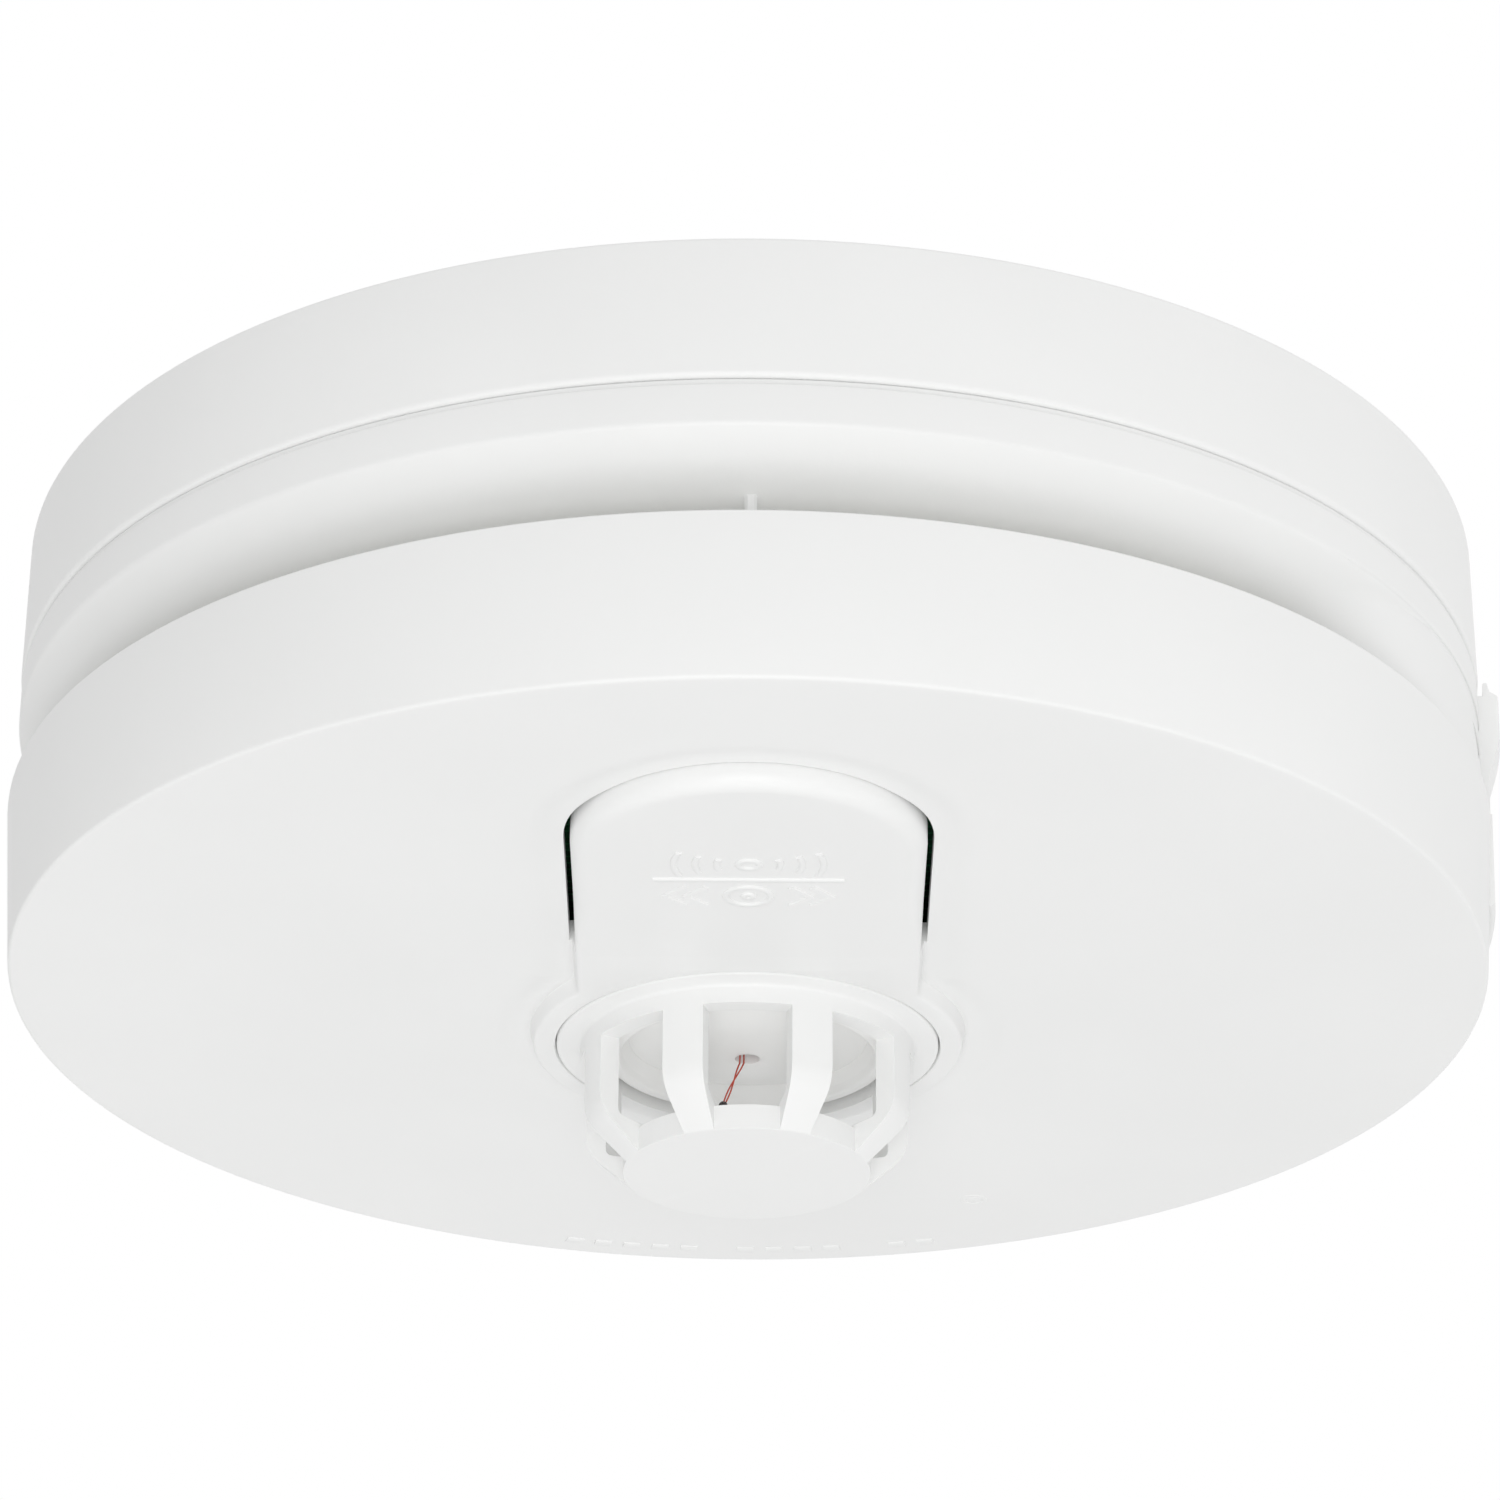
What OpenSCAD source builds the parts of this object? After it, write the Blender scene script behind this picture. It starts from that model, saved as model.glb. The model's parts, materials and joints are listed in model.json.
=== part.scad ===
/* [Housing] */
// Radius of the face
face_r = 58; // [57.8:0.1:58.2]
// Radius of the front cover's upper edge
cover_r = 58.74; // [58.6:0.02:58.8]
// Radius of the band above the air channel
band_r = 58.2; // [58.0:0.1:58.4]
// Radius of the mounting base at the ceiling
base_r = 58.1; // [57.9:0.1:58.2]
// Depth of the face below the ceiling
face_depth = 35.6; // [35.4:0.1:36.4]
// Depth of the mounting base
base_depth = 11.6; // [11.4:0.1:11.7]
// Gap between the mounting base and the head
head_gap = 0.5; // [0.4:0.1:0.7]
// Wall thickness of the mouldings
wall = 1.8; // [1.6:0.1:2.0]

/* [Air channel] */
// Depth of the band's lower edge, where the channel starts
channel_top = 15.4; // [15.2:0.1:15.8]
// Depth of the front cover's upper edge, where the channel ends
channel_bottom = 22.6; // [22.4:0.1:23.0]
// Radius of the drum at the bottom of the channel
drum_r = 46; // [45.6:0.1:46.4]
// Depth at which the channel wall meets the drum
throat_depth = 21.1; // [20.8:0.1:21.4]
// Half the angle of the wall that bridges the channel at the catch
bridge_half_angle = 25; // [20:1:28]

/* [Sensor cage] */
// Distance of the cage from the centre line
cage_y = 7.4; // [7:0.1:8]
// Outer radius of the cage wall
cage_r = 13.3; // [13.1:0.1:13.5]
// Radius of the disc that closes the cage
cage_disc_r = 9.8; // [9.4:0.1:10.2]
// Height of the cage below its flange
cage_h = 10.75; // [10.4:0.05:11.2]
// Number of cage bars
bar_count = 8; // [6:1:9]
// Width of a cage bar
bar_w = 3.4; // [2.8:0.1:3.8]

/* [Test button] */
// Half the width of the button
button_half_w = 13.3; // [13:0.1:13.4]
// Gap round the button
button_gap = 0.45; // [0.4:0.05:0.6]
// Distance from the centre line to the button's hinge
button_root = 11; // [10.8:0.1:11.4]
// Distance from the centre line to the middle of the button's round end
button_end = 30; // [29.5:0.1:30.4]
// Height of the raised platform that the button continues
platform_h = 1; // [0.8:0.1:1.2]
// Height of the button's free end above the face
button_tip_h = 1.6; // [1.4:0.1:1.8]

/* [Mounting] */
// Radius of the cable entry
cable_r = 10; // [8:0.5:10]
// Distance between the two fixing slots
slot_spacing = 51; // [50:0.5:52]
// Length of a fixing slot
slot_length = 10; // [8:0.5:11]
// Half the width of a fixing slot
slot_r = 2.25; // [2:0.05:2.5]
// Distance that the head slides to come off its hooks
travel = 12; // [11:0.5:12]

/* [Hidden] */
$fn = 96;
eps = 0.01;                                  // overshoot of a cut past a face
head_top = base_depth + head_gap;
plate_t = 2;                                 // ceiling plate of the base
back_t = 1.2;                                // back cover of the head
rebate_r = band_r - 2.4;                     // seat of the back cover in the band
step_r = band_r - 0.4;                       // ring that fills most of the gap to the base
step_h = 0.35;
ledge_r = rebate_r - 1.2;
lip = 0.6;                                   // rounding of the band's lower edge
lip_r = band_r - lip;
cove_power = 2.1;                            // how sharply the channel wall curves
cove_steps = 16;
drum_bottom = channel_bottom + 0.6;
chassis_t = 1.4;
chassis_bottom = drum_bottom + chassis_t;
face_t = 2;
face_inner = face_depth - face_t;
board_top = 27;
board_t = 1.6;
board_bottom = board_top + board_t;
board_r = 50;
cable_y = -14;                               // cable entry and fixing slots
hook_places = [[-28, -28], [-28, 28], [28, -28], [28, 28]];
hook_l = 6;
hook_stem_w = 3;
hook_foot_w = 7;
hook_foot_top = head_top + back_t + 0.2;
hook_foot_t = 1.4;
post_ring_r = 36;                            // circle of the housing screws
post_angles = [90, 210, 330];
post_r = 3.2;
screw_r = 1.4;
standoff_ring_r = 46.6;                      // circle of the board screws
standoff_angles = [30, 150, 270];
blade_places = [12.5, 18, 23.5, 29];
blade_t = 0.8;
blade_clear = 0.3;
block_x = [6, 24.6];                          // terminal block
block_y = [8.5, 33];
block_depth = [plate_t, 11];
catch_pivot_x = 38;
catch_leaf = [4, 5.2];                       // depths of the catch's leaf
notch_half_w = 8;
catch_half_w = 7.5;
catch_block_half_w = 7.8;                    // block on the head below the catch
block_r = 59.8;
catch_step = 11.1;
rib_angles = [-90, 60, 150];
rib_w = 1;
collar_r = 15.35;                            // hole for the cage in the face
platform_r = 17.1;
flange_depth = face_depth + platform_h;      // underside of the cage's flange
cage_bottom = flange_depth + cage_h;
cage_wall = 1.65;
flange_gap = 0.12;                           // clearance of the cage's flange in the face
cage_ring_h = 1.6;
cage_disc_t = 2;
knee_h = 7.6;                                // height where the cage wall turns inward
led_place = [19.3, 43];
plunger_y = -36;
switch_bottom = board_bottom + 3.5;
plunger_tip = switch_bottom + 1;
sounder_place = [-20, 8];
sounder_r = 17.5;
cell_places = [[12, 25], [27, 8.5]];
cell_r = 9.8;
bead_offset = [-1.9, -1.8];                  // bead from the middle of the cage
lead_bend = flange_depth + 1.3;
bead_depth = 42.3;
bead_r = 0.6;
lead_r = 0.12;
lead_pitch = 0.4;                            // distance between the two leads
lead_slope = [bead_offset[0], bead_offset[1], bead_depth - lead_bend];
lead_reach = norm(lead_slope) - bead_r * 0.95;

// Depth of the channel wall: halfway between a power curve and a quarter ellipse
function channel_wall(r) = let (t = min(1, (r - drum_r) / (lip_r - drum_r)))
    channel_top + (throat_depth - channel_top) * (1 - pow(t, cove_power) + sqrt(1 - t * t)) / 2;
function on_circle(r, angle) = [r * cos(angle), r * sin(angle)];

// Everything is laid out with depth below the ceiling as +Z, and hung from it here
module hang() mirror([0, 0, 1]) children();

module block(x, y, depth)
    translate([x[0], y[0], depth[0]]) cube([x[1] - x[0], y[1] - y[0], depth[1] - depth[0]]);

module rod(place, r, depth)
    translate([place[0], place[1], depth[0]]) cylinder(h = depth[1] - depth[0], r = r);

module spin(profile) rotate_extrude($fn = 180) polygon(profile);

// A wedge about +X that reaches half_angle each way
module wedge(half_angle, depth) {
    reach = 80;
    translate([0, 0, depth[0]]) linear_extrude(depth[1] - depth[0])
        polygon([[0, 0], [reach, -reach * tan(half_angle)], [reach, reach * tan(half_angle)]]);
}

// A straight slot along X with round ends
module slot(place, r, length, depth) {
    half = length / 2 - r;
    rod([place[0] - half, place[1]], r, depth);
    rod([place[0] + half, place[1]], r, depth);
    block([place[0] - half, place[0] + half], [place[1] - r, place[1] + r], depth);
}

// Outline of the button, from its hinge to its round end, grown by grow on the sides
module tongue(grow, root, depth) {
    w = button_half_w + grow;
    block([-w, w], [-button_end, -root], depth);
    rod([0, -button_end], w, depth);
}

module screw(place, head, tip, r, head_r) {
    difference() {
        rod(place, head_r, head);
        block([place[0] - head_r * 0.7, place[0] + head_r * 0.7], [place[1] - 0.3, place[1] + 0.3],
            [head[0] - eps, head[0] + 0.6]);
    }
    rod(place, r, [head[1] - eps, tip]);
}

module mounting_base() color("white") hang() {
    lip_x = base_r + 0.2;
    difference() {
        union() {
            spin([[0, 0], [base_r, 0], [lip_x, base_depth - 0.4], [lip_x - 0.4, base_depth],
                [base_r - wall, base_depth], [base_r - wall, plate_t], [0, plate_t]]);
            for (place = hook_places) hook(place);
            block([catch_pivot_x - 4, catch_pivot_x - 0.15], [-6, 6], [plate_t - eps, catch_leaf[1]]);
            collar(cable_r + 3, cable_r + 1.6, [0, cable_y]);
            for (angle = [0:45:315]) if (angle != 0) rotate(angle)
                block([48, base_r - wall + eps], [-0.6, 0.6], [plate_t - eps, 7]);
        }
        rod([0, cable_y], cable_r, [-eps, plate_t + 4]);
        for (side = [-1, 1])
            slot([side * slot_spacing / 2, cable_y], slot_r, slot_length, [-eps, plate_t + eps]);
        block([50, 60], [-notch_half_w, notch_half_w], [7.2, base_depth + eps]);
    }
}

module collar(outer, inner, place) translate([place[0], place[1], plate_t - eps])
    difference() {
        cylinder(h = 1.2, r = outer);
        translate([0, 0, -eps]) cylinder(h = 2, r = inner);
    }

// A hook with a wide foot, which carries the head
module hook(place) {
    x = [place[0] - hook_l / 2, place[0] + hook_l / 2];
    foot = [hook_foot_top, hook_foot_top + hook_foot_t];
    block(x, [place[1] - hook_stem_w / 2, place[1] + hook_stem_w / 2], [plate_t - eps, foot[1]]);
    block(x, [place[1] - hook_foot_w / 2, place[1] + hook_foot_w / 2], foot);
}

module terminal_block() color("ivory") hang() difference() {
    block(block_x, block_y, block_depth);
    for (y = blade_places) {
        block([block_x[0] - eps, 13.3], [y - blade_t / 2 - blade_clear, y + blade_t / 2 + blade_clear],
            [4.6, 10.4]);
        block([13.2, 22], [y - 2, y + 2], [4.5, 9.5]);
        translate([21.9, y, 7]) rotate([0, 90, 0]) cylinder(h = 5, r = 1.7);
        rod([17, y], 2.4, [9.4, block_depth[1] + eps]);
    }
}

module socket_contacts() color("goldenrod") hang() for (y = blade_places) difference() {
    block([13.4, 22], [y - 2, y + 2], [4.5, 9.5]);
    translate([19, y, 7]) rotate([0, 90, 0]) cylinder(h = 4, r = 1.6);
    rod([17, y], 1.3, [6.5, 9.6]);
}

module terminal_screws() color("silver") hang() for (y = blade_places)
    mirror([0, 0, 1]) translate([0, 0, -2 * 10.2])
        screw([17, y], [9.5, 10.8], 13.2, 1.25, 2.2);

module release_catch() color("white") hang() {
    block([catch_pivot_x, 54.6], [-5.5, 5.5], catch_leaf);
    block([53.2, 54.6], [-5.5, 5.5], [catch_leaf[0], 10.8]);
    intersection() {
        rod([0, 0], base_r + 0.25, [8.1, 10.8]);
        block([54.6 - eps, 60], [-catch_half_w, catch_half_w], [8.1, 10.8]);
    }
}

module back_cover() color("whitesmoke") hang() difference() {
    rod([0, 0], rebate_r - 0.1, [head_top, head_top + back_t]);
    for (place = hook_places) {
        cut = [head_top - eps, head_top + back_t + eps];
        window = place[0] + travel;
        block([place[0] - hook_l / 2 - 0.3, window + hook_l / 2 + 0.3],
            [place[1] - hook_stem_w / 2 - 0.3, place[1] + hook_stem_w / 2 + 0.3], cut);
        block([window - hook_l / 2 - 0.4, window + hook_l / 2 + 0.4],
            [place[1] - hook_foot_w / 2 - 0.4, place[1] + hook_foot_w / 2 + 0.4], cut);
    }
    for (angle = post_angles)
        rod(on_circle(post_ring_r, angle), screw_r + 0.1, [head_top - eps, head_top + back_t + eps]);
    for (y = blade_places)
        block([-2.5, -1.5], [y - 0.5, y + 0.5], [head_top - eps, head_top + back_t + eps]);
}

module contact_holder() color("ivory") hang() difference() {
    block([-8, 4], [10, 31.5], [4.2, head_top]);
    for (y = blade_places)
        block([-2.5, 4 + eps], [y - blade_t / 2, y + blade_t / 2], [5, head_top + eps]);
}

module contact_blades() color("goldenrod") hang() for (y = blade_places) {
    blade = [y - blade_t / 2, y + blade_t / 2];
    block([-2.5, 12], blade, [5, 10]);
    block([-2.4, -1.6], blade, [10 - eps, board_top]);
}

module upper_housing() color("white") hang() {
    inner = drum_r - wall;
    shell = wall * 1.15;
    steps = [for (i = [0:cove_steps]) i / cove_steps];
    outer_cove = [for (t = steps) let (r = lip_r + (drum_r - lip_r) * t) [r, channel_wall(r)]];
    inner_cove = [for (t = steps) let (r = drum_r + (ledge_r - drum_r) * t) [r, channel_wall(r) - shell]];
    rounding = [for (a = [0:30:60]) [lip_r + lip * cos(a), channel_top - lip + lip * sin(a)]];
    spin(concat([[rebate_r, head_top - step_h], [step_r, head_top - step_h], [step_r, head_top],
        [band_r - 0.3, head_top], [band_r, head_top + 0.3]], rounding,
        outer_cove, [[drum_r, drum_bottom], [inner, drum_bottom], [inner, throat_depth - wall]],
        inner_cove, [[ledge_r, head_top + back_t], [rebate_r, head_top + back_t]]));
    for (angle = rib_angles) rotate(angle) rib();
    intersection() {
        spin([[rebate_r, channel_top - 0.4], [band_r, channel_top - 0.4], [band_r, channel_bottom],
            [rebate_r, channel_bottom]]);
        wedge(bridge_half_angle, [channel_top - 1, channel_bottom + 1]);
    }
    intersection() {
        spin([[rebate_r, head_top + 0.2], [block_r - 1.2, head_top + 0.2], [block_r - 1.2, catch_step],
            [block_r, catch_step],
            [block_r, 16], [block_r - 1, 19.3], [block_r - 1.05, channel_bottom],
            [rebate_r, channel_bottom]]);
        block([50, 65], [-catch_block_half_w, catch_block_half_w], [catch_step - 1, channel_bottom + 1]);
    }
}

// A spacer rib that stands across the channel
module rib() rotate([90, 0, 0]) translate([0, 0, -rib_w / 2]) linear_extrude(rib_w)
    polygon([[49, channel_wall(49) - 0.4], [52, channel_wall(52) - 0.4], [54, channel_wall(54) - 0.4],
        [54.3, channel_bottom], [49, channel_bottom]]);

module inner_chassis() color("whitesmoke") hang() difference() {
    union() {
        spin([[40, drum_bottom], [cover_r - wall - 0.3, drum_bottom],
            [cover_r - wall - 0.3, chassis_bottom], [40, chassis_bottom]]);
        spin([[42.6, 20.4], [drum_r - wall - 0.1, 20.4], [drum_r - wall - 0.1, drum_bottom + eps],
            [42.6, drum_bottom + eps]]);
        for (angle = standoff_angles)
            rod(on_circle(standoff_ring_r, angle), 2.6, [chassis_bottom - eps, board_top]);
    }
    for (angle = standoff_angles)
        rod(on_circle(standoff_ring_r, angle), 1, [chassis_bottom - 1, board_top + eps]);
}

module front_cover() color("white") hang() {
    inner_r = face_r - wall;
    difference() {
        union() {
            spin([[0, face_inner], [inner_r - 0.4, face_inner], [inner_r, face_inner - 0.6],
                [cover_r - wall, channel_bottom], [cover_r - 0.35, channel_bottom],
                [cover_r, channel_bottom + 0.35], [face_r + 0.05, face_depth - 0.6],
                [face_r - 0.5, face_depth], [0, face_depth]]);
            rod([0, cage_y], platform_r, [face_depth - eps, flange_depth]);
            block([-button_half_w, button_half_w], [-button_root, cage_y - 10],
                [face_depth - eps, flange_depth]);
            for (angle = post_angles)
                rod(on_circle(post_ring_r, angle), post_r, [head_top + back_t + 0.1, face_inner + eps]);
            intersection() {
                block([57, 62], [-catch_block_half_w, catch_block_half_w], [channel_bottom, 30.5]);
                rod([0, 0], block_r - 0.9, [channel_bottom - 1, 31]);
            }
        }
        rod([0, cage_y], collar_r, [face_inner - 1, flange_depth + eps]);
        tongue(button_gap, button_root, [face_inner - 1, flange_depth + 1]);
        rod(led_place, 0.95, [face_inner - 1, face_depth + eps]);
        for (angle = post_angles)
            rod(on_circle(post_ring_r, angle), screw_r, [head_top + back_t, 27]);
    }
}

module housing_screws() color("silver") hang() for (angle = post_angles)
    screw(on_circle(post_ring_r, angle), [head_top - 1.8, head_top], 26, screw_r - 0.05, 2.6);

module board_screws() color("silver") hang() for (angle = standoff_angles)
    mirror([0, 0, 1]) translate([0, 0, -2 * board_bottom])
        screw(on_circle(standoff_ring_r, angle), [board_bottom - 1, board_bottom], board_bottom + 4,
            0.95, 1.9);

module circuit_board() color("seagreen") hang() difference() {
    rod([0, 0], board_r, [board_top, board_bottom]);
    for (angle = post_angles)
        rod(on_circle(post_ring_r, angle), post_r + 0.3, [board_top - eps, board_bottom + eps]);
    for (angle = standoff_angles)
        rod(on_circle(standoff_ring_r, angle), 1, [board_top - eps, board_bottom + eps]);
}

module sensor_cage() color("white") hang() translate([0, cage_y, 0]) {
    knee = flange_depth + knee_h;
    disc_top = cage_bottom - cage_disc_t;
    inner = cage_r - cage_wall;
    difference() {
        spin([[inner, face_inner - 2], [collar_r - flange_gap, face_inner - 2],
            [collar_r - flange_gap, flange_depth],
            [cage_r, flange_depth], [cage_r, knee], [cage_disc_r, cage_bottom], [0, cage_bottom],
            [0, disc_top], [cage_disc_r - 2, disc_top], [inner, knee - 0.3]]);
        for (i = [0:bar_count - 1]) rotate(-90 + i * 360 / bar_count)
            window(disc_top, knee);
    }
}

// One window between two bars: radial sides, open down to the closing disc's edge
module window(disc_top, knee) {
    half = 180 / bar_count - asin(bar_w / 2 / cage_r);
    difference() {
        wedge(half, [flange_depth + cage_ring_h, disc_top]);
        rod([0, 0], cage_disc_r - 2.4, [flange_depth, cage_bottom]);
    }
    intersection() {
        wedge(half, [disc_top - eps, cage_bottom + eps]);
        spin([[cage_disc_r, disc_top - eps], [cage_r + 1, disc_top - eps], [cage_r + 1, cage_bottom + 1],
            [cage_disc_r, cage_bottom + 1]]);
    }
}

module sensor_dome() color("white") hang() translate([0, cage_y, 0]) {
    crown = flange_depth + 1;
    rim = flange_depth + 0.4;
    cap = [for (i = [0:8]) let (r = 9.4 * (1 - i / 8) + 1 * i / 8) [r, crown - 1.7 * pow(r / 9.4, 2)]];
    spin(concat([[9.8, board_bottom], [11.2, board_bottom], [11.2, rim + 0.5], [10.2, rim + 0.5],
        [10.2, rim]], cap, [[1, crown - 1.6], [9.8, rim - 1.5]]));
}

module thermistor_leads() color("firebrick") hang() for (side = [-lead_pitch / 2, lead_pitch / 2])
    translate([side, cage_y, 0]) {
        rod([0, 0], lead_r, [board_bottom, lead_bend]);
        translate([0, 0, lead_bend]) sphere(r = lead_r, $fn = 24);
        translate([0, 0, lead_bend])
            rotate([0, acos(lead_slope[2] / norm(lead_slope)), atan2(lead_slope[1], lead_slope[0])])
                cylinder(h = lead_reach, r = lead_r);
    }

module thermistor_bead() color("black") hang()
    translate([bead_offset[0], cage_y + bead_offset[1], bead_depth])
        sphere(r = bead_r, $fn = 48);

module sounder_housing() color("dimgray") hang() translate([sounder_place[0], sounder_place[1], 0])
    spin([[3, 17], [sounder_r, 17], [sounder_r, board_top], [sounder_r - 1.3, board_top],
        [sounder_r - 1.3, 21], [sounder_r - 3, 21], [sounder_r - 3, 18.3], [3, 18.3]]);

module piezo_disc() color("gold") hang() {
    rod(sounder_place, sounder_r - 1.5, [21, 21.3]);
    rod(sounder_place, 11, [21.3 - eps, 21.6]);
}

module backup_cells() color("silver") hang() for (place = cell_places) {
    rod(place, cell_r, [23.6, 26.4]);
    rod(place, cell_r - 1.6, [23.2, 23.6 + eps]);
}

module cell_tabs() color("gainsboro") hang() for (place = cell_places) translate([place[0], place[1], 0]) {
    block([-2, 2], [-cell_r - 0.8, 4], [22.9, 23.2]);
    block([-2, 2], [-cell_r - 0.8, -cell_r - 0.5], [23.2 - eps, board_top]);
    block([-2, 2], [-4, 4], [26.4, 26.7]);
}

module film_capacitor() color("royalblue") hang() block([4, 22], [-13, -5], [16.9, board_top]);

module smoothing_capacitor() color("midnightblue") hang() {
    rod([8, -24], 4, [16.4, board_top - 0.4]);
    rod([8, -24], 3.6, [board_top - 0.5, board_top]);
}

module lying(place, r, length, depth) translate([place[0] - length / 2, place[1], depth])
    rotate([0, 90, 0]) cylinder(h = length, r = r);

module fuse() color("silver") hang() lying([31, -6], 2.6, 10, board_top - 2.7);

module varistor() color("orange") hang() translate([-6, -19, board_top - 5.4]) rotate([90, 0, 0])
    cylinder(h = 4, r = 5);

module resistors() color("tan") hang() for (i = [0:3]) lying([-21, -17 - 3.6 * i], 1.2, 6.4, board_top - 1.3);

module rectifier_diodes() color("dimgray") hang() for (i = [0:3])
    lying([18, -19 - 3.8 * i], 1.4, 5.2, board_top - 1.5);

module microcontroller() color("darkslategray") hang()
    block([-12, -3], [-37, -30], [board_top - 1.8, board_top]);

module indicator_led() color("lightgreen") hang() rod(led_place, 1.5, [board_bottom, board_bottom + 1.8]);

module light_pipe() color("white", 0.6) hang() {
    rod(led_place, 0.9, [board_bottom + 2, face_depth]);
    rod(led_place, 1.8, [face_inner - 1, face_inner]);
}

module test_switch() color("dimgray") hang() difference() {
    block([-3, 3], [plunger_y - 3, plunger_y + 3], [board_bottom, switch_bottom]);
    rod([0, plunger_y], 1.75, [board_bottom + 0.8, switch_bottom + eps]);
}

module switch_plunger() color("black") hang() rod([0, plunger_y], 1.7, [board_bottom + 2, plunger_tip]);

module test_button() color("white") hang() {
    tip = [-button_end - button_half_w - 1, face_depth + button_tip_h];
    inside = face_inner + 0.6;
    intersection() {
        tongue(0, button_root + 0.15, [inside - 1, tip[1] + 1]);
        translate([-20, 0, 0]) rotate([90, 0, 90]) linear_extrude(40)
            polygon([[-button_root, inside], [-button_root, flange_depth], tip, [tip[0], inside]]);
    }
    rod([0, plunger_y], 2, [plunger_tip + 0.15, inside + eps]);
}

mounting_base();
terminal_block();
socket_contacts();
terminal_screws();
release_catch();
back_cover();
contact_holder();
contact_blades();
upper_housing();
inner_chassis();
front_cover();
housing_screws();
board_screws();
circuit_board();
sensor_cage();
sensor_dome();
thermistor_leads();
thermistor_bead();
sounder_housing();
piezo_disc();
backup_cells();
cell_tabs();
film_capacitor();
smoothing_capacitor();
fuse();
varistor();
resistors();
rectifier_diodes();
microcontroller();
indicator_led();
light_pipe();
test_switch();
switch_plunger();
test_button();
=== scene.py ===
import json
import math

import bmesh
import bpy
from mathutils import Matrix, Vector
from mathutils.geometry import tessellate_polygon


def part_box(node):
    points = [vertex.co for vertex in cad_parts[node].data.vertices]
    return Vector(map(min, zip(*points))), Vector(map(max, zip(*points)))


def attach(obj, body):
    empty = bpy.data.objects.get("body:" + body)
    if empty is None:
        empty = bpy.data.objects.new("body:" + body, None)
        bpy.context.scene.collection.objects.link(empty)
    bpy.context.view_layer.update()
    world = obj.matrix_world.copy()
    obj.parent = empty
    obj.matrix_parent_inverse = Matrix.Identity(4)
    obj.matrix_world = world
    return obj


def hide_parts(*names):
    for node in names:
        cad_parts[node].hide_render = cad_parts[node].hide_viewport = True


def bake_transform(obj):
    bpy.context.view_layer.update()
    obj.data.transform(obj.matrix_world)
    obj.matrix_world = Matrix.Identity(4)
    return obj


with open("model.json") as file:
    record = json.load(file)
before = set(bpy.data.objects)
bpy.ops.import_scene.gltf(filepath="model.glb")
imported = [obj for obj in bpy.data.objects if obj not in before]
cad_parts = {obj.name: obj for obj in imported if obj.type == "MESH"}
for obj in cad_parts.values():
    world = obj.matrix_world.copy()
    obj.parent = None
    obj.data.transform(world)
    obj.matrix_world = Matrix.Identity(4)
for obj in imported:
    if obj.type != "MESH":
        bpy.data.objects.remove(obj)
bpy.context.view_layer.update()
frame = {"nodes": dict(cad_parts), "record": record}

# All sizes below are in millimetres, with z = 0 at the ceiling and the alarm hanging towards -z.
MM = 0.001

# Housing
FACE_R = 58.0
COVER_R = 58.74
BAND_R = 58.2
BASE_R = 58.1
FACE_Z = -35.6
BASE_Z = -11.6
HEAD_TOP_Z = -12.1
CHANNEL_TOP_Z = -15.4
CHANNEL_BOTTOM_Z = -22.6
THROAT_Z = -21.1
DRUM_R = 46.0
WALL = 1.8
FACE_INNER_Z = FACE_Z + 2.0
BLOCK_R = 59.8
BLOCK_HALF_W = 7.8
LIP_R = BAND_R - 0.6
REBATE_R = BAND_R - 2.4
STEP_R = BAND_R - 0.2
STEP_Z = HEAD_TOP_Z + 0.44
RIB_ANGLES = (-90, 60, 150)

# Ceiling side of the base
BASE_FLOOR_Z = -2.0
CABLE_Y = -14.0
CABLE_R = 10.0
FIXING_X = 25.5
FIXING_HALF_L = 2.75
FIXING_R = 2.25
HOOK_XY = 28

# Raised platform: the button's tongue joined to the ring round the cage
BUTTON_HALF_W = 13.3
BUTTON_GAP = 0.5
ARCH_GAP = 0.1
BUTTON_END_Y = -30.0
ROOT_Y = -11.0
PLATFORM_H = 1.0
TIP_H = 1.6
CAGE_Y = 7.4
RING_R = 17.1
COLLAR_R = 15.35
PLATFORM_Z = FACE_Z - PLATFORM_H
MOAT_DEPTH = 0.33

# Wall that closes the channel at the catch: flush up to BRIDGE_START degrees, gone by BRIDGE_END
BRIDGE_START, BRIDGE_END = 25.0, 45.0

# Sensor cage
CAGE_R = 13.3
CAGE_DISC_R = 9.8
CAGE_H = 10.75
CAGE_BARS = 8
BAR_W = 3.4
CAGE_WALL = 1.65
KNEE_H = 7.6
CAGE_RING_H = 1.6
CAGE_DISC_T = 2.0

# Thermistor
LEAD_R = 0.065
BEAD_R = 0.36

SEGMENTS = 288
SHARP_DEGREES = 32.0


# ---------------------------------------------------------------- mesh helpers

def mesh_object(name, verts, faces, sharp_degrees=SHARP_DEGREES):
    """A mesh object from points in millimetres, shaded smooth up to sharp_degrees."""
    mesh = bpy.data.meshes.new(name)
    mesh.from_pydata([Vector(v) * MM for v in verts], [], faces)
    bm = bmesh.new()
    bm.from_mesh(mesh)
    bmesh.ops.remove_doubles(bm, verts=bm.verts, dist=2e-7)
    bmesh.ops.dissolve_degenerate(bm, edges=bm.edges, dist=1e-7)
    bmesh.ops.recalc_face_normals(bm, faces=bm.faces)
    bm.to_mesh(mesh)
    bm.free()
    mesh.shade_smooth()
    mesh.set_sharp_from_angle(angle=math.radians(sharp_degrees))
    obj = bpy.data.objects.new(name, mesh)
    bpy.context.scene.collection.objects.link(obj)
    return obj


def smoothstep(low, high, value):
    """0 at low, 1 at high, with an even start and end. low may be above high."""
    t = min(1.0, max(0.0, (value - low) / (high - low)))
    return t * t * (3 - 2 * t)


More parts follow.
